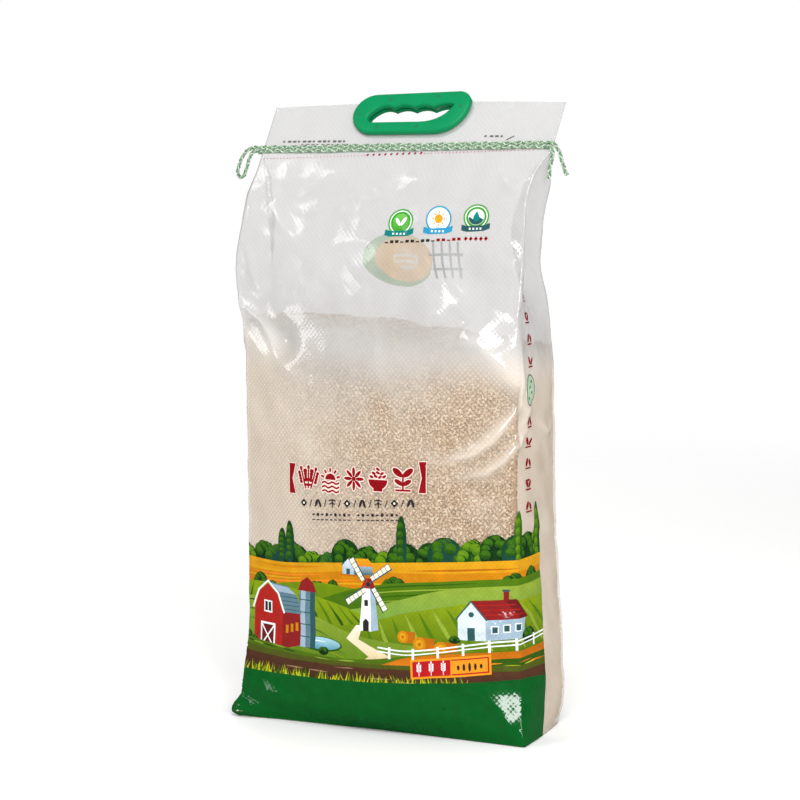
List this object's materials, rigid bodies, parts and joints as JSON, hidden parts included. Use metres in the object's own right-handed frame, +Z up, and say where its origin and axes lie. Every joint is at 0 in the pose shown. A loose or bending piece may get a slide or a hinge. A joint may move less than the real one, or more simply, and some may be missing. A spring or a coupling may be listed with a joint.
{
  "type": "rice sack",
  "caption": "Standing clear film sack of rice with folded sides, a printed lower front, a plaited thread closure and a moulded carrying handle.",
  "frame": {"origin": "centre of the sack's footprint on the surface it stands on", "axes": "+X to the right as the printed front is read, +Y to the back, +Z up"},
  "size_m": [0.3486, 0.1416, 0.6125],
  "materials": {
    "bag_film": "clear laminated woven film, glossy",
    "handle_plastic": "moulded, satin",
    "closing_thread": "plaited, matt",
    "rice": "polished short grain, satin",
    "print_ink": "reverse printed under the film's gloss"
  },
  "bodies": {
    "root": {"sack": "bag_film", "handle": "handle_plastic", "stitches_front_upper": "closing_thread", "stitches_front_lower": "closing_thread", "stitches_back_upper": "closing_thread", "stitches_back_lower": "closing_thread", "thread_loop": "closing_thread", "thread_tail_outer": "closing_thread", "thread_tail_inner": "closing_thread"}
  },
  "joints": []
}
